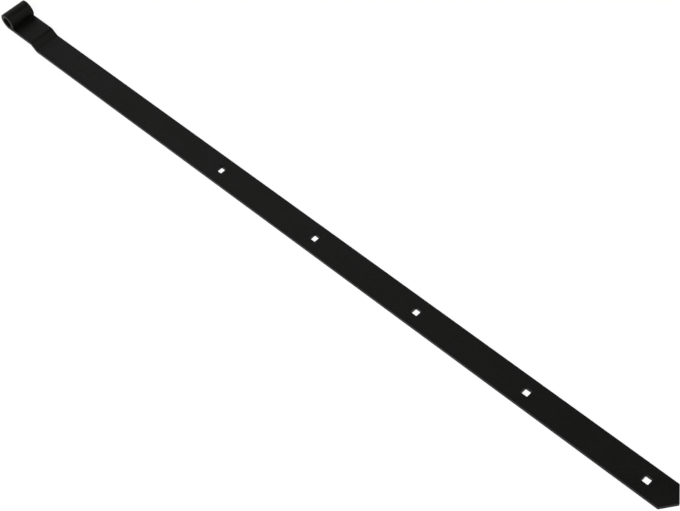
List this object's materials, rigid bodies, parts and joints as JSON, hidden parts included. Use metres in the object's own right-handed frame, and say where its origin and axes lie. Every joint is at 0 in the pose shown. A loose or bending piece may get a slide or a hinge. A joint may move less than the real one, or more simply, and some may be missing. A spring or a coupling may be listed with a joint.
{
  "type": "hinge band",
  "caption": "Long flat steel hinge band with a rolled eye and a crank at one end, square coach-bolt holes along it and a pointed far end; hangs a gate or door on a hook's pin.",
  "frame": {"origin": "on the pin's axis in the eye, half way across the band", "axes": "+X along the band from the eye to the point, +Y along the pin's axis, +Z from the band's back to its front, the side that the eye is rolled to"},
  "size_m": [1.213, 0.04, 0.0353],
  "materials": {
    "black_coat": "satin"
  },
  "bodies": {
    "root": {"hinge_band": "black_coat"}
  },
  "joints": []
}
